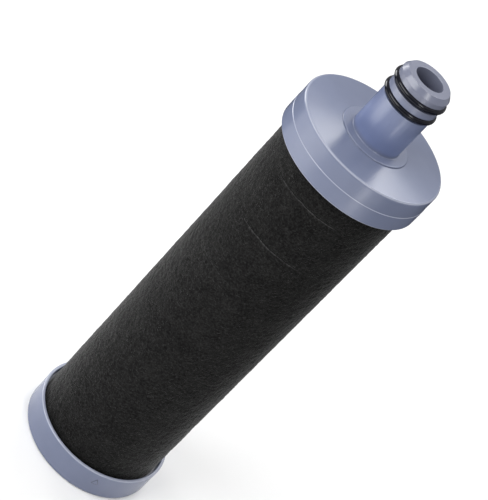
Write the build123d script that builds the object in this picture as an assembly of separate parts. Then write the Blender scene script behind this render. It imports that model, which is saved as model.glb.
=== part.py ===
from build123d import *
import os

# Replaceable carbon block water filter cartridge, spigot upward.
# Millimetres. Origin at the centre of the flat underside, +Z along the axis
# and out through the spigot.

# ---- end caps -------------------------------------------------------------
CAP_R = 31.75            # top cap, lower band
CAP_BAND_R = 31.6        # top cap, upper band above the parting line
BOTTOM_CAP_R = 31.0
CAP_WALL = 2.0           # top skirt wall at the open end
BOTTOM_WALL = 1.5
CAP_PLATE = 3.0          # thickness of each end plate
RIM_ROUND = 1.0          # rounded outer edge of each cap
LIP_ROUND = 0.5          # rounded open edge of each skirt
PARTING_ROUND = 0.12     # rounded step at the parting line

BOTTOM_LIP_Z = 12.8      # open edge of the bottom cap
SKIRT_Z = 184.0          # open edge of the top cap
PARTING_Z = 191.3        # parting line round the top cap
FACE_Z = 199.0           # face of the top cap at its rim
FACE_RISE = 0.3          # face climbs this much to the collar
COLLAR_R = 15.0          # low collar round the foot of the spigot
COLLAR_RISE = 0.6
COLLAR_ROUND = 0.5

BOSS_R = 10.0            # centring bosses inside the core tube
BOSS_LENGTH = 8.0
BOSS_WALL = 2.0

# ---- spigot ---------------------------------------------------------------
SPIGOT_R = 10.8
SPIGOT_TIP_Z = 231.4
NOSE_R = 9.35            # front face, inside the lead-in chamfer
LEAD_IN = 2.1            # axial length of the lead-in chamfer
BORE_R = 6.1
BORE_EDGE = 0.3          # broken edge at the mouth
FOOT_FILLET = 0.4

RING_SECTION_R = 1.2
RING_BORE_R = 9.32
GROOVE_FLOOR_R = 9.3
GROOVE_WIDTH = 2.9
GROOVE_TOPS = (221.4, 227.2)

# ---- carbon block and what lines it ---------------------------------------
BLOCK_R = 28.75
BLOCK_BORE_R = 12.5
WRAP_THICKNESS = 0.6
CORE_WALL = 1.8
GLUE_BED = 1.5           # adhesive between a plate and the block
GLUE_CLIMB = 6.0         # adhesive up the gap between skirt and block

WINDOW_WIDTH = 3.0       # slotted windows through the core tube
WINDOW_HEIGHT = 9.0
WINDOWS_ROUND = 6
WINDOW_ROWS = 12

# ---- index pip on the bottom cap ------------------------------------------
PIP_SIDE = 3.0
PIP_PROUD = 0.2
PIP_Z = 7.8
PIP_ANGLE = -62.0

CEILING_Z = FACE_Z - CAP_PLATE
BLOCK_BOTTOM_Z = CAP_PLATE + GLUE_BED
BLOCK_TOP_Z = CEILING_Z - GLUE_BED
SKIRT_INNER_R = CAP_R - CAP_WALL
BOTTOM_INNER_R = BOTTOM_CAP_R - BOTTOM_WALL
WRAP_INNER_R = BLOCK_BORE_R - WRAP_THICKNESS
CORE_INNER_R = WRAP_INNER_R - CORE_WALL


def revolve_outline(points):
    """Turn a closed outline of (radius, height) points round the axis."""
    with BuildPart() as part:
        with BuildSketch(Plane.XZ):
            with BuildLine():
                Polyline(*points, close=True)
            make_face()
        revolve(axis=Axis.Z)
    return part.part


def tube(inner_r, outer_r, bottom_z, top_z):
    return revolve_outline([
        (inner_r, bottom_z),
        (outer_r, bottom_z),
        (outer_r, top_z),
        (inner_r, top_z),
    ])


def circle_edges(part, radius, height):
    """Circular edges of one radius at one height."""
    found = []
    for edge in part.edges().filter_by(GeomType.CIRCLE):
        same_height = abs(edge.center(CenterOf.BOUNDING_BOX).Z - height) < 0.01
        if same_height and abs(edge.radius - radius) < 0.01:
            found.append(edge)
    return found


def rounded(part, size, *rings):
    """Fillet the circular edges given as (radius, height)."""
    edges = []
    for radius, height in rings:
        edges += circle_edges(part, radius, height)
    return part.fillet(size, edges)


def make_top_cap():
    collar_foot_z = FACE_Z + FACE_RISE
    collar_top_z = collar_foot_z + COLLAR_RISE
    low_groove, high_groove = GROOVE_TOPS
    outline = [
        (BORE_R, CEILING_Z - BOSS_LENGTH),
        (BOSS_R, CEILING_Z - BOSS_LENGTH),
        (BOSS_R, CEILING_Z),
        (SKIRT_INNER_R, CEILING_Z),
        (SKIRT_INNER_R, SKIRT_Z),
        (CAP_R, SKIRT_Z),
        (CAP_R, PARTING_Z),
        (CAP_BAND_R, PARTING_Z),
        (CAP_BAND_R, FACE_Z),
        (COLLAR_R, collar_foot_z),
        (COLLAR_R, collar_top_z),
        (SPIGOT_R, collar_top_z),
    ]
    for top_z in (low_groove, high_groove):
        outline += [
            (SPIGOT_R, top_z - GROOVE_WIDTH),
            (GROOVE_FLOOR_R, top_z - GROOVE_WIDTH),
            (GROOVE_FLOOR_R, top_z),
            (SPIGOT_R, top_z),
        ]
    outline += [
        (SPIGOT_R, SPIGOT_TIP_Z - LEAD_IN),
        (NOSE_R, SPIGOT_TIP_Z),
        (BORE_R + BORE_EDGE, SPIGOT_TIP_Z),
        (BORE_R, SPIGOT_TIP_Z - BORE_EDGE),
    ]
    cap = revolve_outline(outline)
    cap = rounded(cap, RIM_ROUND, (CAP_BAND_R, FACE_Z))
    cap = rounded(cap, LIP_ROUND, (CAP_R, SKIRT_Z), (SKIRT_INNER_R, SKIRT_Z))
    cap = rounded(cap, PARTING_ROUND, (CAP_R, PARTING_Z))
    cap = rounded(cap, COLLAR_ROUND, (COLLAR_R, collar_top_z))
    return rounded(cap, FOOT_FILLET, (SPIGOT_R, collar_top_z))


def make_bottom_cap():
    cup_z = CAP_PLATE
    cap = revolve_outline([
        (0, 0),
        (BOTTOM_CAP_R, 0),
        (BOTTOM_CAP_R, BOTTOM_LIP_Z),
        (BOTTOM_INNER_R, BOTTOM_LIP_Z),
        (BOTTOM_INNER_R, cup_z),
        (BOSS_R, cup_z),
        (BOSS_R, cup_z + BOSS_LENGTH),
        (BOSS_R - BOSS_WALL, cup_z + BOSS_LENGTH),
        (BOSS_R - BOSS_WALL, cup_z),
        (0, cup_z),
    ])
    cap = rounded(cap, RIM_ROUND, (BOTTOM_CAP_R, 0))
    cap = rounded(
        cap, LIP_ROUND,
        (BOTTOM_CAP_R, BOTTOM_LIP_Z), (BOTTOM_INNER_R, BOTTOM_LIP_Z),
    )
    side = Plane(
        origin=(0, -(BOTTOM_CAP_R - BOTTOM_WALL / 2), PIP_Z),
        x_dir=(1, 0, 0),
        z_dir=(0, -1, 0),
    )
    pip = extrude(
        side * RegularPolygon(PIP_SIDE / 2, 3, rotation=90),
        BOTTOM_WALL / 2 + PIP_PROUD,
    )
    pip = pip.rotate(Axis.Z, PIP_ANGLE + 90)
    return cap + pip


def make_core_tube():
    core = tube(CORE_INNER_R, WRAP_INNER_R, BLOCK_BOTTOM_Z, BLOCK_TOP_Z)
    span = BLOCK_TOP_Z - BLOCK_BOTTOM_Z
    pitch = span / (WINDOW_ROWS + 1)
    window = Box(WINDOW_WIDTH, 4 * WRAP_INNER_R, WINDOW_HEIGHT)
    cutters = []
    for row in range(WINDOW_ROWS):
        height = BLOCK_BOTTOM_Z + pitch * (row + 1)
        for step in range(WINDOWS_ROUND // 2):
            turn = 180 * step / (WINDOWS_ROUND // 2) + 30 * (row % 2)
            cutters.append(Pos(0, 0, height) * Rot(0, 0, turn) * window)
    return core - cutters


def make_glue_bed(plate_z, skirt_r, up):
    """Adhesive between an end plate and the block and up the skirt gap."""
    bed_z = plate_z + up * GLUE_BED
    climb_z = bed_z + up * GLUE_CLIMB
    return revolve_outline([
        (BOSS_R, plate_z),
        (skirt_r, plate_z),
        (skirt_r, climb_z),
        (BLOCK_R, climb_z),
        (BLOCK_R, bed_z),
        (BOSS_R, bed_z),
    ])


def make_ring(groove_top_z):
    """O-ring seated against the upper wall of its groove."""
    centre_z = groove_top_z - RING_SECTION_R - 0.05
    ring = Torus(RING_BORE_R + RING_SECTION_R, RING_SECTION_R)
    return Pos(0, 0, centre_z) * ring


parts = {
    "top_end_cap": make_top_cap(),
    "bottom_end_cap": make_bottom_cap(),
    "carbon_block": tube(BLOCK_BORE_R, BLOCK_R, BLOCK_BOTTOM_Z, BLOCK_TOP_Z),
    "inner_wrap": tube(WRAP_INNER_R, BLOCK_BORE_R, BLOCK_BOTTOM_Z, BLOCK_TOP_Z),
    "core_tube": make_core_tube(),
    "top_glue_bed": make_glue_bed(CEILING_Z, SKIRT_INNER_R, -1),
    "bottom_glue_bed": make_glue_bed(CAP_PLATE, BOTTOM_INNER_R, 1),
    "lower_o_ring": make_ring(GROOVE_TOPS[0]),
    "upper_o_ring": make_ring(GROOVE_TOPS[1]),
}

os.makedirs("parts", exist_ok=True)
for name, solid in parts.items():
    export_step(solid, f"parts/{name}.step")
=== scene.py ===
"""Looks of a carbon block water filter cartridge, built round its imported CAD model.

Metres, in the CAD frame: the cartridge stands on its closed cap at the
origin, and its outlet spigot points along +Z.
"""

import math

import bpy
import numpy as np
from mathutils import Matrix, Vector


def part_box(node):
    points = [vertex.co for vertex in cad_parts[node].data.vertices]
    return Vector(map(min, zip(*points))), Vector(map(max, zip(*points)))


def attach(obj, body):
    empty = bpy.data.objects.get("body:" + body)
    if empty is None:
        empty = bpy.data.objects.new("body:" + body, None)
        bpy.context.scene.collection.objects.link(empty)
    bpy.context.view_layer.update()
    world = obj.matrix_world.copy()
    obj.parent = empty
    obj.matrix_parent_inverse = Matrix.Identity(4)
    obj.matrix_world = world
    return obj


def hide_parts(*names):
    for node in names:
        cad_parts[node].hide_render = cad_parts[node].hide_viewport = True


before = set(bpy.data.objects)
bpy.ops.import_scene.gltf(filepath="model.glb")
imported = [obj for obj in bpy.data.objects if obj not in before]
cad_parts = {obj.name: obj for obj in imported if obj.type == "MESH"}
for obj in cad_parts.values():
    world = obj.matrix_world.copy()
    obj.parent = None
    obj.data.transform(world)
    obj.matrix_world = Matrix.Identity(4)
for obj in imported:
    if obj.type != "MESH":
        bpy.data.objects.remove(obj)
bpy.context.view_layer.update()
MM = 0.001


# ---------------------------------------------------------------------------
# Sizes
# ---------------------------------------------------------------------------

cap_low, cap_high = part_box("top_end_cap")
cup_low, cup_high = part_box("bottom_end_cap")
block_low, block_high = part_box("carbon_block")
core_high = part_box("core_tube")[1]
low_ring_low, low_ring_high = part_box("lower_o_ring")
high_ring_low, high_ring_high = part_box("upper_o_ring")

CAP_R = cap_high.x
BAND_R = CAP_R - 0.15 * MM        # upper band, above the parting line
CUP_R = -cup_low.x
BLOCK_R = block_high.x

SKIRT_Z = cap_low.z
TIP_Z = cap_high.z
LIP_Z = cup_high.z

PLATE = 3.0 * MM
TOP_SKIRT_WALL = 2.0 * MM
CUP_WALL = 1.5 * MM
PARTING_Z = SKIRT_Z + 7.3 * MM
FACE_Z = SKIRT_Z + 15.0 * MM
FACE_RISE = 0.3 * MM
COLLAR_R = 15.0 * MM
COLLAR_RISE = 0.6 * MM
SPIGOT_R = 10.8 * MM
NOSE_R = 9.35 * MM
LEAD_IN = 2.1 * MM
BORE_R = 6.1 * MM
BOSS_R = 10.0 * MM
BOSS_WALL = 2.0 * MM
BOSS_LENGTH = 8.0 * MM
GROOVE_FLOOR_R = 9.3 * MM
GROOVE_WIDTH = 2.9 * MM
GROOVE_GAP = 0.05 * MM
RING_SECTION_R = (low_ring_high.z - low_ring_low.z) / 2
RING_R = low_ring_high.x - RING_SECTION_R

WRAP_THICKNESS = 0.6 * MM
BLOCK_BORE_R = core_high.x + WRAP_THICKNESS
BLOCK_INSET = 0.22 * MM           # mean wall inside the block's full radius
BLOCK_ROWS = 281
GRIT_SIZE = 0.05 * MM
WALL_WAVES = 120
FINE_WAVE = 0.003 * MM            # size of the shortest waves in the wall
SLOW_WAVE_GAIN = 15               # how much larger the longest ones are

CRACKS = 7
CRACK_PITCH = 23.9 * MM
TOP_CRACK_Z = 174.3 * MM
CRACK_DEPTH = 0.14 * MM
CRACK_WANDER = 0.16 * MM
RIDGE_DROP = 0.3 * MM             # the ridge under a crack, below its level
# rows of the wall beside a crack, as heights above it
CRACK_ROWS = np.array([0.9, 0.28, 0.12, 0, -0.14, -0.32, -1.0]) * MM
CRACK_CLEARANCE = 1.1 * MM        # no other rows are nearer than this
UPPER_CRACKS_Z = 140 * MM         # cracks above this are open at the front
FRONT_TURN = math.radians(-93)
FRONT_OPEN = math.radians(36)
FRONT_SHUT = 0.8                  # radians from the front
FRONT_FADE = 0.2

PIP_TURN = math.radians(-62.0)
PIP_Z = 7.8 * MM
PIP_INRADIUS = 0.85 * MM
PIP_STRETCH = 1.2                 # height of the triangle against its width
PIP_POINTS = 72

TURNS = 288                       # points round a turned surface
ARC_POINTS = 6                    # points along each rounding
RING_POINTS = 48                  # points round an O-ring's section
HOLD = 0.05 * MM                  # from each rounding to the point beside it


# ---------------------------------------------------------------------------
# Surfaces
# ---------------------------------------------------------------------------

def new_piece(name, points, faces, material):
    """A smooth-shaded mesh object from an array of points and a list of faces."""
    mesh = bpy.data.meshes.new(name)
    mesh.from_pydata(points.reshape(-1, 3).tolist(), [], faces)
    mesh.validate()
    mesh.materials.append(material)
    mesh.polygons.foreach_set("use_smooth", [True] * len(mesh.polygons))
    piece = bpy.data.objects.new(name, mesh)
    bpy.context.scene.collection.objects.link(piece)
    return piece


def rounded_outline(corners):
    """An outline of (radius, height) points with its corners rounded.

    Each corner is (radius, height, rounding). A rounding is an arc tangent to
    the two runs that meet there: its centre is on their bisector, rounding /
    sin(half angle) from the corner. One extra point sits just before and just
    after each arc, so that flat runs stay flat under smooth shading.
    """
    corners = np.array(corners, float)
    spots, size = corners[:, :2], corners[:, 2]
    before = np.roll(spots, 1, axis=0) - spots
    after = np.roll(spots, -1, axis=0) - spots
    before /= np.linalg.norm(before, axis=1)[:, None]
    after /= np.linalg.norm(after, axis=1)[:, None]
    half = np.arccos(np.clip((before * after).sum(1), -1, 1)) / 2
    setback = size / np.tan(half)
    bisector = before + after
    bisector /= np.linalg.norm(bisector, axis=1)[:, None]
    centre = spots + bisector * (size / np.sin(half))[:, None]
    start = spots + before * setback[:, None]
    end = spots + after * setback[:, None]
    sweep = math.pi - 2 * half
    share = np.linspace(0, 1, ARC_POINTS)[None, :, None]
    # a point of the arc is the blend of the two radii that keeps its length
    spread = np.sin(sweep)[:, None, None]
    arc = centre[:, None] + (
        np.sin((1 - share) * sweep[:, None, None]) * (start - centre)[:, None]
        + np.sin(share * sweep[:, None, None]) * (end - centre)[:, None]
    ) / spread
    first = start + before * HOLD
    last = end + after * HOLD
    runs = np.concatenate([first[:, None], arc, last[:, None]], axis=1)
    return runs.reshape(-1, 2)


def store_values(piece, name, values):
    """One number for each of a piece's points, for its material to read."""
    store = piece.data.attributes.new(name, "FLOAT", "POINT")
    store.data.foreach_set("value", values.ravel().astype(np.float32))


def turned(name, outline, material, closed=True):
    """Carries an outline of (radius, height) points once round the Z axis.

    Point i at turn t is (radius_i cos t, radius_i sin t, height_i). A closed
    outline makes a ring. An open one starts and ends on the axis, where its
    two ends become single pole points.
    """
    turn = np.linspace(0, 2 * math.pi, TURNS, endpoint=False)
    radius, height = outline[:, :1], outline[:, 1:]
    points = np.stack([
        radius * np.cos(turn),
        radius * np.sin(turn),
        height * np.ones_like(turn),
    ], axis=-1)
    return stitched(name, points, material, closed)


def stitched(name, points, material, closed=True):
    """Joins rows of points, each once round a loop, with four-sided faces.

    Face (i, j) has the corners (i, j), (i, j+1), (i+1, j+1) and (i+1, j), with
    j counted round the loop. A closed stack also joins its last row to its
    first. In an open one the first and last rows are single pole points, each
    joined to the row beside it by a fan of triangles.
    """
    rows, count = points.shape[:2]
    if not closed:
        low_pole, high_pole = points[0, 0], points[-1, 0]
        points = points[1:-1]
        rows -= 2
    i, j = np.meshgrid(
        np.arange(rows if closed else rows - 1), np.arange(count), indexing="ij")
    next_i, next_j = (i + 1) % rows, (j + 1) % count
    faces = np.stack([
        i * count + j,
        i * count + next_j,
        next_i * count + next_j,
        next_i * count + j,
    ], axis=-1).reshape(-1, 4).tolist()
    points = points.reshape(-1, 3)
    if not closed:
        turn = np.arange(count)
        step = (turn + 1) % count
        last = (rows - 1) * count
        pole = np.full(count, rows * count)
        faces += np.stack([pole, step, turn], axis=1).tolist()
        faces += np.stack([pole + 1, last + turn, last + step], axis=1).tolist()
        points = np.vstack([points, low_pole, high_pole])
    return new_piece(name, points, faces, material)


# ---------------------------------------------------------------------------
# Finishes' values
# ---------------------------------------------------------------------------

CAP_TONES = (0.131, 0.151, 0.228), (0.145, 0.166, 0.248)
# bluer than the cap's tones, and brighter as painted light
SPIGOT_BLUE_AND_LIT_TONES = (0.145, 0.180, 0.320), (0.157, 0.194, 0.340)
NOSE_TONES = (0.140, 0.150, 0.204), (0.152, 0.163, 0.221)
CAP_ROUGHNESS = 0.21, 0.27
# paler tone painted along the caps' edges as a highlight
EDGE_HIGHLIGHT_TONE = (0.36, 0.38, 0.46)
# painted shade for the bore
BORE_SHADE_TONE = (0.028, 0.030, 0.052)
# painted shade round the pip's foot
FOOT_SHADE_TONE = (0.045, 0.048, 0.070)
FACE_CROWN = math.tan(math.radians(4.0))
PEEL_HEIGHT = 0.006 * MM

RING_TONES = (0.0008, 0.0010, 0.0044), (0.0020, 0.0023, 0.0070)
RING_ROUGHNESS = 0.11, 0.17

# dark grain tone up to a paler tone that is painted light on raised grains
GRAIN_AND_CREST_LIGHT_TONES = (0.0004, 0.0004, 0.0005), (0.0180, 0.0180, 0.0174)
# painted highlight on the ridge under each crack
LIP_HIGHLIGHT_TONES = (0.022, 0.022, 0.022), (0.080, 0.080, 0.080)
# painted shade down each crack
GAP_SHADE_TONES = (0.001, 0.001, 0.001), (0.002, 0.002, 0.002)
CARBON_ROUGHNESS = 0.7, 0.5
GRAIN_HEIGHT = 0.16 * MM

CORE_TONES = (0.66, 0.67, 0.67), (0.74, 0.75, 0.75)
WRAP_TONES = (0.70, 0.70, 0.68), (0.86, 0.86, 0.84)
MELT_TONES = (0.075, 0.080, 0.110), (0.095, 0.100, 0.135)


# ---------------------------------------------------------------------------
# Shader helpers
# ---------------------------------------------------------------------------

def new_material(name):
    material = bpy.data.materials.new(name)
    material.use_nodes = True
    return material, material.node_tree


def node(tree, kind, **values):
    """A node with its properties, and its inputs by name or by number."""
    made = tree.nodes.new(kind)
    for key, value in values.items():
        if key == "inputs":
            for socket, content in value.items():
                made.inputs[socket].default_value = content
        else:
            setattr(made, key, value)
    return made


def wire(tree, source, target):
    tree.links.new(source, target)


def new_group(name, inputs, outputs):
    """A shader group with (name, kind, default) inputs and (name, kind) outputs."""
    tree = bpy.data.node_groups.new(name, "ShaderNodeTree")
    for label, kind, default in inputs:
        socket = tree.interface.new_socket(
            name=label, in_out="INPUT", socket_type="NodeSocket" + kind)
        socket.default_value = default
    for label, kind in outputs:
        tree.interface.new_socket(
            name=label, in_out="OUTPUT", socket_type="NodeSocket" + kind)
    return tree, node(tree, "NodeGroupInput"), node(tree, "NodeGroupOutput")


def math_node(tree, operation, a, b=None, clamp=False):
    """A Math node whose operands are sockets or numbers."""
    made = node(tree, "ShaderNodeMath", operation=operation, use_clamp=clamp)
    for index, operand in enumerate((a, b)):
        if operand is None:
            continue
        if isinstance(operand, bpy.types.NodeSocket):
            wire(tree, operand, made.inputs[index])
        else:
            made.inputs[index].default_value = operand
    return made.outputs[0]


def object_place(tree):
    return node(tree, "ShaderNodeTexCoord").outputs["Object"]


def noise(tree, place, scale, detail=4.0, roughness=0.6):
    made = node(tree, "ShaderNodeTexNoise", inputs={
        "Scale": scale, "Detail": detail, "Roughness": roughness})
    wire(tree, place, made.inputs["Vector"])
    return made.outputs["Fac"]


def ramp(tree, value, low, high, out_low, out_high):
    made = node(tree, "ShaderNodeMapRange", inputs={
        "From Min": low, "From Max": high,
        "To Min": out_low, "To Max": out_high})
    wire(tree, value, made.inputs["Value"])
    return made.outputs["Result"]


def mix(tree, value, first, second):
    """Goes from the first colour to the second as value goes from 0 to 1.

    Each of the two is a colour or the socket of one.
    """
    made = node(tree, "ShaderNodeMix", data_type="RGBA")
    sockets = [s for s in made.inputs if s.type == "RGBA"]
    wire(tree, value, made.inputs["Factor"])
    for socket, colour in zip(sockets, (first, second)):
        if isinstance(colour, bpy.types.NodeSocket):
            wire(tree, colour, socket)
        else:
            socket.default_value = (*colour, 1)
    return [s for s in made.outputs if s.type == "RGBA"][0]


def place_parts(tree):
    """The three coordinates of a point of the piece."""
    apart = node(tree, "ShaderNodeSeparateXYZ")
    wire(tree, object_place(tree), apart.inputs[0])
    return apart.outputs


def axis_distance(tree, parts):
    """Distance from the Z axis: the root of X squared plus Y squared."""
    return math_node(tree, "SQRT", math_node(
        tree, "ADD",
        math_node(tree, "MULTIPLY", parts["X"], parts["X"]),
        math_node(tree, "MULTIPLY", parts["Y"], parts["Y"])))


def wire_bump(tree, shader, height, strength, distance):
    bump = node(tree, "ShaderNodeBump", inputs={
        "Strength": strength, "Distance": distance})
    wire(tree, height, bump.inputs["Height"])
    wire(tree, bump.outputs["Normal"], shader.inputs["Normal"])


# ---------------------------------------------------------------------------
# Shader groups
# ---------------------------------------------------------------------------

def make_moulded_skin():
    """Fine orange peel and faint flow clouds of a moulded plastic skin."""
    tree, given, result = new_group(
        "moulded_skin",
        [("Cloud scale", "Float", 60.0), ("Peel scale", "Float", 900.0)],
        [("Cloud", "Float"), ("Height", "Float")])
    place = object_place(tree)
    cloud = node(tree, "ShaderNodeTexNoise", inputs={"Detail": 3.0})
    peel = node(tree, "ShaderNodeTexNoise", inputs={
        "Detail": 2.0, "Roughness": 0.5})
    wire(tree, place, cloud.inputs["Vector"])
    wire(tree, place, peel.inputs["Vector"])
    wire(tree, given.outputs["Cloud scale"], cloud.inputs["Scale"])
    wire(tree, given.outputs["Peel scale"], peel.inputs["Scale"])
    wire(tree, ramp(tree, cloud.outputs["Fac"], 0.3, 0.7, 0, 1),
         result.inputs["Cloud"])
    wire(tree, peel.outputs["Fac"], result.inputs["Height"])
    return tree


def make_painted_edge_highlight():
    """A mask along an edge that runs round the axis at one level, where a highlight is
    painted.

    It is 0.8 to 1 at the level, falls to 0 at the reach above and below it,
    and is 0 nearer to the axis than the least radius.
    """
    tree, given, result = new_group(
        "painted_edge_highlight",
        [("Level", "Float", 0.1), ("Reach", "Float", 0.001),
         ("Least radius", "Float", 0.03)],
        [("Mask", "Float")])
    parts = place_parts(tree)
    off = math_node(tree, "ABSOLUTE", math_node(
        tree, "SUBTRACT", parts["Z"], given.outputs["Level"]))
    near = math_node(tree, "SUBTRACT", 1.0, math_node(
        tree, "DIVIDE", off, given.outputs["Reach"]), clamp=True)
    outside = math_node(
        tree, "GREATER_THAN", axis_distance(tree, parts),
        given.outputs["Least radius"])
    highlight_break = ramp(tree, noise(tree, object_place(tree), 160.0, 2.0), 0.3, 0.7, 0.8, 1.0)
    mask = math_node(tree, "MULTIPLY", math_node(
        tree, "MULTIPLY", near, outside), highlight_break)
    wire(tree, mask, result.inputs["Mask"])
    return tree


MOULDED_SKIN = make_moulded_skin()
PAINTED_EDGE_HIGHLIGHT = make_painted_edge_highlight()


# ---------------------------------------------------------------------------
# Materials
# ---------------------------------------------------------------------------

def place_skin(tree, cloud_scale, peel_scale):
    return node(tree, "ShaderNodeGroup", node_tree=MOULDED_SKIN, inputs={
        "Cloud scale": cloud_scale, "Peel scale": peel_scale}).outputs


def painted_edge_highlights(tree):
    """Masks of the caps' four painted edge highlights, added together."""
    edges = 0
    for level, reach, least in (
        (PARTING_Z - 0.08 * MM, 0.22 * MM, BAND_R - 0.1 * MM),
        (FACE_Z - 0.25 * MM, 0.35 * MM, BAND_R - 0.9 * MM),
        (SKIRT_Z + 0.2 * MM, 0.35 * MM, CAP_R - 0.5 * MM),
        (LIP_Z - 0.15 * MM, 0.4 * MM, CUP_R - 1.2 * MM),
    ):
        line = node(tree, "ShaderNodeGroup", node_tree=PAINTED_EDGE_HIGHLIGHT, inputs={
            "Level": level, "Reach": reach, "Least radius": least})
        edges = math_node(tree, "ADD", edges, line.outputs["Mask"])
    return edges


def cap_colour(tree, cloud, height, distance):
    """Blue-grey, bluer up the spigot and brighter there as painted light, with painted
    highlights on edges and painted shade in the bore and round the pip's foot.
    """
    # The spigot's tint is bluer than the cap and brighter as painted light; its fall
    # from the base up to the lower ring is painted bounce light from the face.
    spigot_tint_and_bounce = ramp(tree, height, FACE_Z + 1 * MM, FACE_Z + 3 * MM, 0, 1)
    spigot_tint_and_bounce = math_node(tree, "MULTIPLY", spigot_tint_and_bounce, ramp(
        tree, height, FACE_Z + 4 * MM, low_ring_low.z, 1, 0.3))
    at_nose = ramp(tree, height, low_ring_low.z, high_ring_low.z, 0, 1)
    colour = mix(tree, spigot_tint_and_bounce, mix(tree, cloud, *CAP_TONES),
                 mix(tree, cloud, *SPIGOT_BLUE_AND_LIT_TONES))
    colour = mix(tree, at_nose, colour, mix(tree, cloud, *NOSE_TONES))
    # painted highlights along the parting line, the face rim, the skirt's foot and the
    # cup's rim
    colour = mix(tree, painted_edge_highlights(tree), colour, EDGE_HIGHLIGHT_TONE)
    # painted shade down the bore, darker with depth
    bore_shade = math_node(
        tree, "MULTIPLY",
        math_node(tree, "LESS_THAN", distance, BORE_R + 0.2 * MM),
        ramp(tree, height, TIP_Z - 0.3 * MM, TIP_Z - 7 * MM, 0, 0.9))
    colour = mix(tree, bore_shade, colour, BORE_SHADE_TONE)
    # painted shade round the pip's foot, read from its attribute
    foot_shade = node(tree, "ShaderNodeAttribute", attribute_name="foot_shade")
    return mix(tree, foot_shade.outputs["Fac"], colour, FOOT_SHADE_TONE)


def make_cap_plastic():
    """Blue-grey moulded polypropylene of both caps and the spigot.

    The face is crowned a little: the height that feeds its bump falls evenly
    with distance from the axis, and only there.
    """
    material, tree = new_material("cap_plastic")
    shader = tree.nodes["Principled BSDF"]
    shader.inputs["IOR"].default_value = 1.5
    skin = place_skin(tree, 55.0, 1100.0)
    parts = place_parts(tree)
    distance = axis_distance(tree, parts)
    wire(tree, cap_colour(tree, skin["Cloud"], parts["Z"], distance),
         shader.inputs["Base Color"])
    wire(tree, ramp(tree, skin["Cloud"], 0, 1, *CAP_ROUGHNESS),
         shader.inputs["Roughness"])

    on_face = math_node(
        tree, "MULTIPLY",
        math_node(tree, "GREATER_THAN", parts["Z"], FACE_Z - 0.3 * MM),
        math_node(tree, "GREATER_THAN", distance, COLLAR_R + 0.1 * MM))
    crown = math_node(tree, "MULTIPLY", distance, -FACE_CROWN)
    crown = math_node(tree, "MULTIPLY", crown, on_face)
    peel = math_node(tree, "MULTIPLY", skin["Height"], PEEL_HEIGHT)
    wire_bump(tree, shader, math_node(tree, "ADD", crown, peel), 1.0, 1.0)
    return material


def make_ring_rubber():
    """Smooth black nitrile with a fine mottle in its colour and its gloss."""
    material, tree = new_material("o_ring_rubber")
    shader = tree.nodes["Principled BSDF"]
    shader.inputs["Specular IOR Level"].default_value = 0.3
    skin = place_skin(tree, 400.0, 2500.0)
    wire(tree, mix(tree, skin["Cloud"], *RING_TONES), shader.inputs["Base Color"])
    wire(tree, ramp(tree, skin["Cloud"], 0, 1, *RING_ROUGHNESS),
         shader.inputs["Roughness"])
    wire_bump(tree, shader, skin["Height"], 0.4, 0.01 * MM)
    return material


def make_carbon():
    """Pressed carbon: near black, matte, random in grain tone, and paler on raised
    chips and where the bump is high, as painted light on the raised grains.

    Cracks get painted shade down their dip and a painted highlight on the ridge below,
    as the crack attribute says.
    """
    material, tree = new_material("activated_carbon")
    shader = tree.nodes["Principled BSDF"]
    shader.inputs["Specular IOR Level"].default_value = 0.08
    shader.inputs["Sheen Weight"].default_value = 0.22
    shader.inputs["Sheen Roughness"].default_value = 0.30
    place = object_place(tree)
    grain = node(tree, "ShaderNodeTexVoronoi", inputs={"Scale": 1500.0})
    wire(tree, place, grain.inputs["Vector"])
    chip = node(tree, "ShaderNodeSeparateColor")
    wire(tree, grain.outputs["Color"], chip.inputs[0])
    coarse = noise(tree, place, 1100.0, 4.0, 0.75)
    patch = noise(tree, place, 120.0, 3.0)

    # glint and the paler tone on high bumps are painted light on the raised grains;
    # cloud is random tone
    glint = math_node(tree, "MULTIPLY", ramp(tree, chip.outputs[0], 0.7, 1, 0, 0.6),
                      ramp(tree, coarse, 0.4, 0.7, 0, 1))
    crest_light = ramp(tree, coarse, 0.36, 0.68, 0, 0.75)
    cloud = ramp(tree, patch, 0.3, 0.7, -0.12, 0.12)
    mixed = math_node(tree, "ADD", math_node(tree, "ADD", glint, crest_light), cloud,
                      clamp=True)
    grain_and_crest_light = mix(tree, mixed, *GRAIN_AND_CREST_LIGHT_TONES)

    # painted shade in each crack's dip and a painted highlight on the ridge below it
    crack = node(tree, "ShaderNodeAttribute", attribute_name="crack")
    lip_highlight = ramp(tree, crack.outputs["Fac"], 0.1, 0.7, 0, 1)
    lip_highlight = math_node(tree, "MULTIPLY", lip_highlight, ramp(tree, coarse, 0.4, 0.6, 0.3, 1))
    gap_shade = ramp(tree, crack.outputs["Fac"], -0.1, -0.8, 0, 0.85)
    colour = mix(tree, lip_highlight, grain_and_crest_light, mix(tree, coarse, *LIP_HIGHLIGHT_TONES))
    wire(tree, mix(tree, gap_shade, colour, mix(tree, coarse, *GAP_SHADE_TONES)),
         shader.inputs["Base Color"])
    wire(tree, ramp(tree, mixed, 0, 1, *CARBON_ROUGHNESS),
         shader.inputs["Roughness"])

    height = math_node(tree, "ADD", coarse,
                       math_node(tree, "MULTIPLY", chip.outputs[1], 0.3))
    wire_bump(tree, shader, height, 1.0, GRAIN_HEIGHT)
    return material


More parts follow.
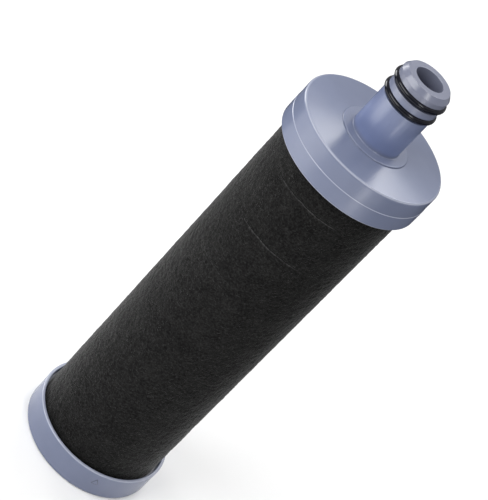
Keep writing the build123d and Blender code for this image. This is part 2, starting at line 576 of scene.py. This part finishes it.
def make_plain(name, tones, roughness, scale, height):
    """Finish of a piece that barely shows: two close tones, finely uneven."""
    material, tree = new_material(name)
    shader = tree.nodes["Principled BSDF"]
    mottle = noise(tree, object_place(tree), scale)
    wire(tree, mix(tree, ramp(tree, mottle, 0.3, 0.7, 0, 1), *tones),
         shader.inputs["Base Color"])
    wire(tree, ramp(tree, mottle, 0.3, 0.7, roughness - 0.05, roughness + 0.05),
         shader.inputs["Roughness"])
    wire_bump(tree, shader, mottle, 0.5, height)
    return material


# ---------------------------------------------------------------------------
# Pieces
# ---------------------------------------------------------------------------

def top_cap(material):
    """Cap, collar and spigot as one ring-shaped moulding."""
    ceiling = FACE_Z - PLATE
    skirt_inner = CAP_R - TOP_SKIRT_WALL
    foot = FACE_Z + FACE_RISE
    collar_top = foot + COLLAR_RISE
    low_groove = low_ring_high.z + GROOVE_GAP
    high_groove = high_ring_high.z + GROOVE_GAP
    crisp, soft = 0.08 * MM, 0.25 * MM
    corners = [
        (BORE_R, ceiling - BOSS_LENGTH, soft),
        (BOSS_R, ceiling - BOSS_LENGTH, soft),
        (BOSS_R, ceiling, soft),
        (skirt_inner, ceiling, soft),
        (skirt_inner, SKIRT_Z, 0.5 * MM),
        (CAP_R, SKIRT_Z, 0.5 * MM),
        (CAP_R, PARTING_Z - 0.2 * MM, 0.08 * MM),
        (BAND_R, PARTING_Z + 0.05 * MM, 0.08 * MM),
        (BAND_R, FACE_Z, 0.9 * MM),
        (COLLAR_R, foot, 0.1 * MM),
        (COLLAR_R, collar_top, 0.45 * MM),
        (SPIGOT_R, collar_top, 0.4 * MM),
    ]
    for groove in (low_groove, high_groove):
        corners += [
            (SPIGOT_R, groove - GROOVE_WIDTH, crisp),
            (GROOVE_FLOOR_R, groove - GROOVE_WIDTH, crisp),
            (GROOVE_FLOOR_R, groove, crisp),
            (SPIGOT_R, groove, crisp),
        ]
    corners += [
        (SPIGOT_R, TIP_Z - LEAD_IN, soft),
        (NOSE_R, TIP_Z, soft),
        (BORE_R, TIP_Z, soft),
    ]
    piece = turned("top_cap_moulding", rounded_outline(corners), material)
    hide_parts("top_end_cap")
    return piece


def bottom_cap(material):
    """Closed cup with a centring ring inside.

    Its outline starts and ends on the axis. It is rounded as a ring with a
    small hole first, and then the hole's own two end points make way for poles.
    """
    inner = CUP_R - CUP_WALL
    boss_top = PLATE + BOSS_LENGTH
    hole, crisp, soft = 0.5 * MM, 0.01 * MM, 0.25 * MM
    rim = rounded_outline([
        (hole, 0, crisp),
        (CUP_R, 0, 1.0 * MM),
        (CUP_R, LIP_Z, 0.5 * MM),
        (inner, LIP_Z, 0.5 * MM),
        (inner, PLATE, soft),
        (BOSS_R, PLATE, soft),
        (BOSS_R, boss_top, soft),
        (BOSS_R - BOSS_WALL, boss_top, soft),
        (BOSS_R - BOSS_WALL, PLATE, soft),
        (hole, PLATE, crisp),
    ])
    outline = np.concatenate([[[0, 0]], rim[1:-1], [[0, PLATE]]])
    piece = turned("bottom_cap_moulding", outline, material, closed=False)
    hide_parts("bottom_end_cap")
    return piece


def o_ring(name, replaced, low, high, material):
    """A torus: a circle of the section's radius carried round the axis."""
    angle = np.linspace(0, 2 * math.pi, RING_POINTS, endpoint=False)
    middle = (low.z + high.z) / 2
    outline = np.stack([
        RING_R + RING_SECTION_R * np.cos(angle),
        middle + RING_SECTION_R * np.sin(angle),
    ], axis=1)
    piece = turned(name, outline, material)
    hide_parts(replaced)
    return piece


def waves(draw, count, most_cycles, turn):
    """A sum of count waves with whole numbers of cycles round the turn.

    Each has a random phase, and a random size over the root of its cycles.
    """
    cycles = draw.integers(1, most_cycles, count)[:, None, None]
    phase = draw.uniform(0, 2 * math.pi, count)[:, None, None]
    size = draw.uniform(0.4, 1.0, count)[:, None, None] / np.sqrt(cycles)
    return (size * np.cos(cycles * turn + phase)).sum(0)


def slow_unevenness(draw, turn, height):
    """A sum of waves that go round the block a whole number of times.

    Each also drifts with height. The slower it is both ways, the larger.
    """
    uneven = np.zeros_like(height)
    for cycles, rise, phase in zip(
        draw.integers(-80, 81, WALL_WAVES),
        draw.uniform(20, 2600, WALL_WAVES),
        draw.uniform(0, 2 * math.pi, WALL_WAVES),
    ):
        slowness = math.exp(-rise / 250 - abs(cycles) / 12)
        size = FINE_WAVE * (1 + SLOW_WAVE_GAIN * slowness)
        uneven += size * np.cos(cycles * turn + rise * height + phase)
    return uneven


def crack_opening(draw, turn, crack):
    """How open a crack is round the block, from 0 to 1.

    A slow wave opens and closes it. An upper crack is wide open along one
    stretch at the front, which fades at its ends, and shut just beyond them.
    """
    opening = np.clip(0.25 + 0.5 * waves(draw, 4, 5, turn), 0, 0.6)
    if crack > UPPER_CRACKS_Z:
        from_front = abs(np.angle(np.exp(1j * (turn - FRONT_TURN))))
        front = np.clip((FRONT_OPEN - from_front) / FRONT_FADE, 0, 1)
        opening = np.maximum(opening * (from_front > FRONT_SHUT), front)
    return opening


def block(material):
    """The extruded block: an uneven, gritty wall with hairline cracks round it.

    The wall is a grid of turn and height, evenly spaced except beside each
    crack, where CRACK_ROWS take over. Its radius is the block's less a small
    inset, plus the slow unevenness, a random grit that each point shares with
    two neighbours and that fades at the cracks, and the cracks' marks. A mark
    is a narrow dip at the crack and a narrow ridge just below it, both scaled
    by how open the crack is. The rows near a crack wander up and down
    together. Nothing goes past the block's full radius. The bore is plain.
    """
    draw = np.random.default_rng(11)
    turn = np.linspace(0, 2 * math.pi, TURNS, endpoint=False)[None, :]
    cracks = TOP_CRACK_Z - CRACK_PITCH * np.arange(CRACKS)
    plain = np.linspace(block_low.z, block_high.z, BLOCK_ROWS)
    clear = np.abs(plain[:, None] - cracks).min(1) > CRACK_CLEARANCE
    rows = np.sort(np.concatenate([
        plain[clear], (cracks[:, None] + CRACK_ROWS).ravel()]))
    height = rows[:, None] * np.ones_like(turn)
    uneven = slow_unevenness(draw, turn, height)
    grit = draw.normal(size=height.shape)
    grit = GRIT_SIZE * (grit + 0.5 * np.roll(grit, 1, 1) + 0.5 * np.roll(grit, 1, 0))
    mark = np.zeros_like(height)
    wander = np.zeros_like(height)
    for crack in cracks:
        offset = rows[:, None] - crack
        grit *= 1 - 0.9 * np.exp(-(offset / (0.5 * MM)) ** 2)
        opening = crack_opening(draw, turn, crack)
        near = np.exp(-(offset / (5 * MM)) ** 2)
        wander += CRACK_WANDER * near * waves(draw, 8, 40, turn)
        mark -= opening * np.exp(-(offset / (0.1 * MM)) ** 2)
        mark += 0.7 * opening * np.exp(-((offset + RIDGE_DROP) / (0.12 * MM)) ** 2)
    radius = BLOCK_R - BLOCK_INSET + uneven + grit + mark * CRACK_DEPTH
    radius = np.minimum(radius, BLOCK_R)
    wall = np.stack([radius * np.cos(turn), radius * np.sin(turn), height + wander], -1)
    bore_height = np.array([block_high.z, block_low.z])[:, None]
    bore = np.stack([
        BLOCK_BORE_R * np.cos(turn) * np.ones((2, 1)),
        BLOCK_BORE_R * np.sin(turn) * np.ones((2, 1)),
        bore_height * np.ones_like(turn),
    ], -1)
    piece = stitched("carbon_block_wall", np.concatenate([wall, bore]), material)
    store_values(piece, "crack", np.concatenate([mark, np.zeros((2, TURNS))]))
    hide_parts("carbon_block")
    return piece


def index_pip(material):
    """A small raised triangle on the bottom cap's side, its point upwards.

    A loop of points round a triangle with rounded corners is scaled about its
    middle from a pole under the skin, out to the full size, and back in to a
    pole on top. Across the cap each point is bent to the cap's curve: its
    turn is its distance across over the cap's radius.
    """
    side = np.linspace(0, 2 * math.pi, PIP_POINTS, endpoint=False) + math.pi / 2
    # distance from the middle to a triangle's side; the powers round its corners
    reach = 1 / np.cos((side - math.pi / 2) % (2 * math.pi / 3) - math.pi / 3)
    reach = PIP_INRADIUS * (reach ** -9 + 1.75 ** -9) ** (-1 / 9)
    # each loop's size against the triangle's, and its height off the cap in mm
    steps = np.array([
        (0.0, -0.3), (1.15, -0.3), (1.15, 0.0), (1.08, 0.03),
        (0.84, 0.19), (0.78, 0.2), (0.0, 0.2)])
    across = steps[:, :1] * reach * np.cos(side)
    up = PIP_STRETCH * steps[:, :1] * reach * np.sin(side)
    radius = CUP_R + steps[:, 1:] * MM
    turn = PIP_TURN + across / CUP_R
    points = np.stack([
        radius * np.cos(turn), radius * np.sin(turn), PIP_Z + up], -1)
    piece = stitched("index_pip", points, material, closed=False)
    # painted shade round the foot, none on top and at the two poles
    foot_shade = np.repeat([0.0, 1.0, 0.9, 0.35, 0.0], PIP_POINTS)
    store_values(piece, "foot_shade", np.append(foot_shade, [0.0, 0.0]))
    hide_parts("bottom_end_cap")
    return piece


# ---------------------------------------------------------------------------
# Build
# ---------------------------------------------------------------------------

cap_plastic = make_cap_plastic()
ring_rubber = make_ring_rubber()
carbon = make_carbon()
core_plastic = make_plain("core_plastic", CORE_TONES, 0.4, 300, 0.02 * MM)
wrap_fabric = make_plain("nonwoven_wrap", WRAP_TONES, 0.9, 1500, 0.2 * MM)
hot_melt = make_plain("hot_melt", MELT_TONES, 0.35, 150, 0.1 * MM)

made = [
    (top_cap(cap_plastic), "cap_plastic"),
    (bottom_cap(cap_plastic), "cap_plastic"),
    (o_ring("upper_ring", "upper_o_ring", high_ring_low, high_ring_high,
            ring_rubber), "o_ring_rubber"),
    (o_ring("lower_ring", "lower_o_ring", low_ring_low, low_ring_high,
            ring_rubber), "o_ring_rubber"),
    (block(carbon), "activated_carbon"),
    (index_pip(cap_plastic), "cap_plastic"),
]
for piece, slot in made:
    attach(piece, "root")

for name, material in (
    ("core_tube", core_plastic),
    ("inner_wrap", wrap_fabric),
    ("top_glue_bed", hot_melt),
    ("bottom_glue_bed", hot_melt),
):
    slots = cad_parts[name].data.materials
    slots.clear()
    slots.append(material)


# ---------------------------------------------------------------------------
# Stage, lights and camera
# ---------------------------------------------------------------------------

FLOOR_HALF = 2.4
FLOOR_GREY, FLOOR_ROUGHNESS = 0.8, 0.9
CARD_LEVEL = 0.5 * MM             # height of the dark cards above the floor
CARD_GREY, CARD_ROUGHNESS = 0.02, 1.0
AIR_LIGHT, BACKDROP_LIGHT = 0.42, 0.8

CAMERA_PLACE = (0, -0.59608, 0.51363)
CAMERA_AIM = (-0.0067846, 0, 0.12355)
CAMERA_ROLL = math.radians(43.257)
LENS = 134.49                     # millimetres, on a sensor 36 mm wide


def flat_sheet(name, near, far, level, grey, roughness):
    """A level rectangle between two (x, y) corners, in one plain grey."""
    mesh = bpy.data.meshes.new(name)
    mesh.from_pydata(
        [(near[0], near[1], level), (far[0], near[1], level),
         (far[0], far[1], level), (near[0], far[1], level)],
        [], [(0, 1, 2, 3)])
    material, tree = new_material(name)
    shader = tree.nodes["Principled BSDF"]
    shader.inputs["Base Color"].default_value = (grey, grey, grey, 1)
    shader.inputs["Roughness"].default_value = roughness
    mesh.materials.append(material)
    sheet = bpy.data.objects.new(name, mesh)
    bpy.context.scene.collection.objects.link(sheet)
    return sheet, shader


def panel(name, place, aim, width, height, glow):
    """A soft light panel. Its power follows from its glow and its area."""
    light = bpy.data.lights.new(name, "AREA")
    light.shape = "RECTANGLE"
    light.size, light.size_y = width, height
    light.energy = glow * math.pi * width * height
    holder = bpy.data.objects.new(name, light)
    holder.location = place
    holder.rotation_euler = (
        Vector(aim) - Vector(place)).to_track_quat("-Z", "Y").to_euler()
    holder.visible_camera = False
    bpy.context.scene.collection.objects.link(holder)


def dark_card(name, near, far):
    """A dark card laid on the floor, seen only in glossy reflections."""
    card, shader = flat_sheet(name, near, far, CARD_LEVEL, CARD_GREY, CARD_ROUGHNESS)
    shader.inputs["Specular IOR Level"].default_value = 0.0
    card.visible_camera = False
    card.visible_diffuse = False
    card.visible_shadow = False


def around(azimuth, distance, height):
    """The point at an angle round the cartridge, a distance from its axis."""
    turn = math.radians(azimuth)
    return distance * math.cos(turn), distance * math.sin(turn), height


def set_world(light, backdrop):
    """Even air light, and a paler backdrop where the camera sees past the floor."""
    world = bpy.data.worlds.new("studio_air")
    world.use_nodes = True
    tree = world.node_tree
    background = tree.nodes["Background"]
    background.inputs["Color"].default_value = (1, 1, 1, 1)
    seen = node(tree, "ShaderNodeLightPath").outputs["Is Camera Ray"]
    wire(tree, ramp(tree, seen, 0, 1, light, backdrop),
         background.inputs["Strength"])
    bpy.context.scene.world = world


def set_camera():
    """A long lens in front and above, rolled so the cartridge leans right."""
    lens_data = bpy.data.cameras.new("camera")
    lens_data.sensor_fit = "HORIZONTAL"
    lens_data.sensor_width = 36
    lens_data.lens = LENS
    place, aim = Vector(CAMERA_PLACE), Vector(CAMERA_AIM)
    holder = bpy.data.objects.new("camera", lens_data)
    look = (aim - place).to_track_quat("-Z", "Y").to_matrix().to_4x4()
    holder.matrix_world = (
        Matrix.Translation(place) @ look @ Matrix.Rotation(CAMERA_ROLL, 4, "Z"))
    bpy.context.scene.collection.objects.link(holder)
    bpy.context.scene.camera = holder


flat_sheet("studio_floor", (-FLOOR_HALF, -FLOOR_HALF), (FLOOR_HALF, FLOOR_HALF),
           0, FLOOR_GREY, FLOOR_ROUGHNESS)
dark_card("back_card", (-1.2, 0.09), (1.2, 1.5))
dark_card("side_card", (0.1, -0.16), (1.2, 0.09))
set_world(AIR_LIGHT, BACKDROP_LIGHT)
panel("top_panel", (0.2, 0.2, 3.4), (0.2, 0.2, 0), 5.0, 5.0, 0.58)
panel("back_panel", around(84, 1.0, 1.34), (0, 0, 0.2), 0.72, 0.72, 6.5)
panel("key_panel", around(-141, 0.62, 0.69), (0, 0, 0.2), 0.70, 0.36, 6.2)
panel("left_low_strip", around(-144, 0.33, 0.018), (0, 0, 0.018), 0.30, 0.036, 1.5)
panel("left_strip", around(-144, 0.33, 0.080), (0, 0, 0.080), 0.26, 0.06, 5.0)
panel("right_strip", around(-50, 0.33, 0.062), (0, 0, 0.062), 0.06, 0.12, 3.2)
panel("right_high_panel", around(-46, 0.62, 0.70), (0, 0, 0.2), 0.18, 0.36, 7.5)
panel("left_rim_panel", around(150, 0.8, 0.2), (0, 0, 0.1), 0.35, 0.4, 6.5)
set_camera()
bpy.context.scene.view_settings.view_transform = "Standard"
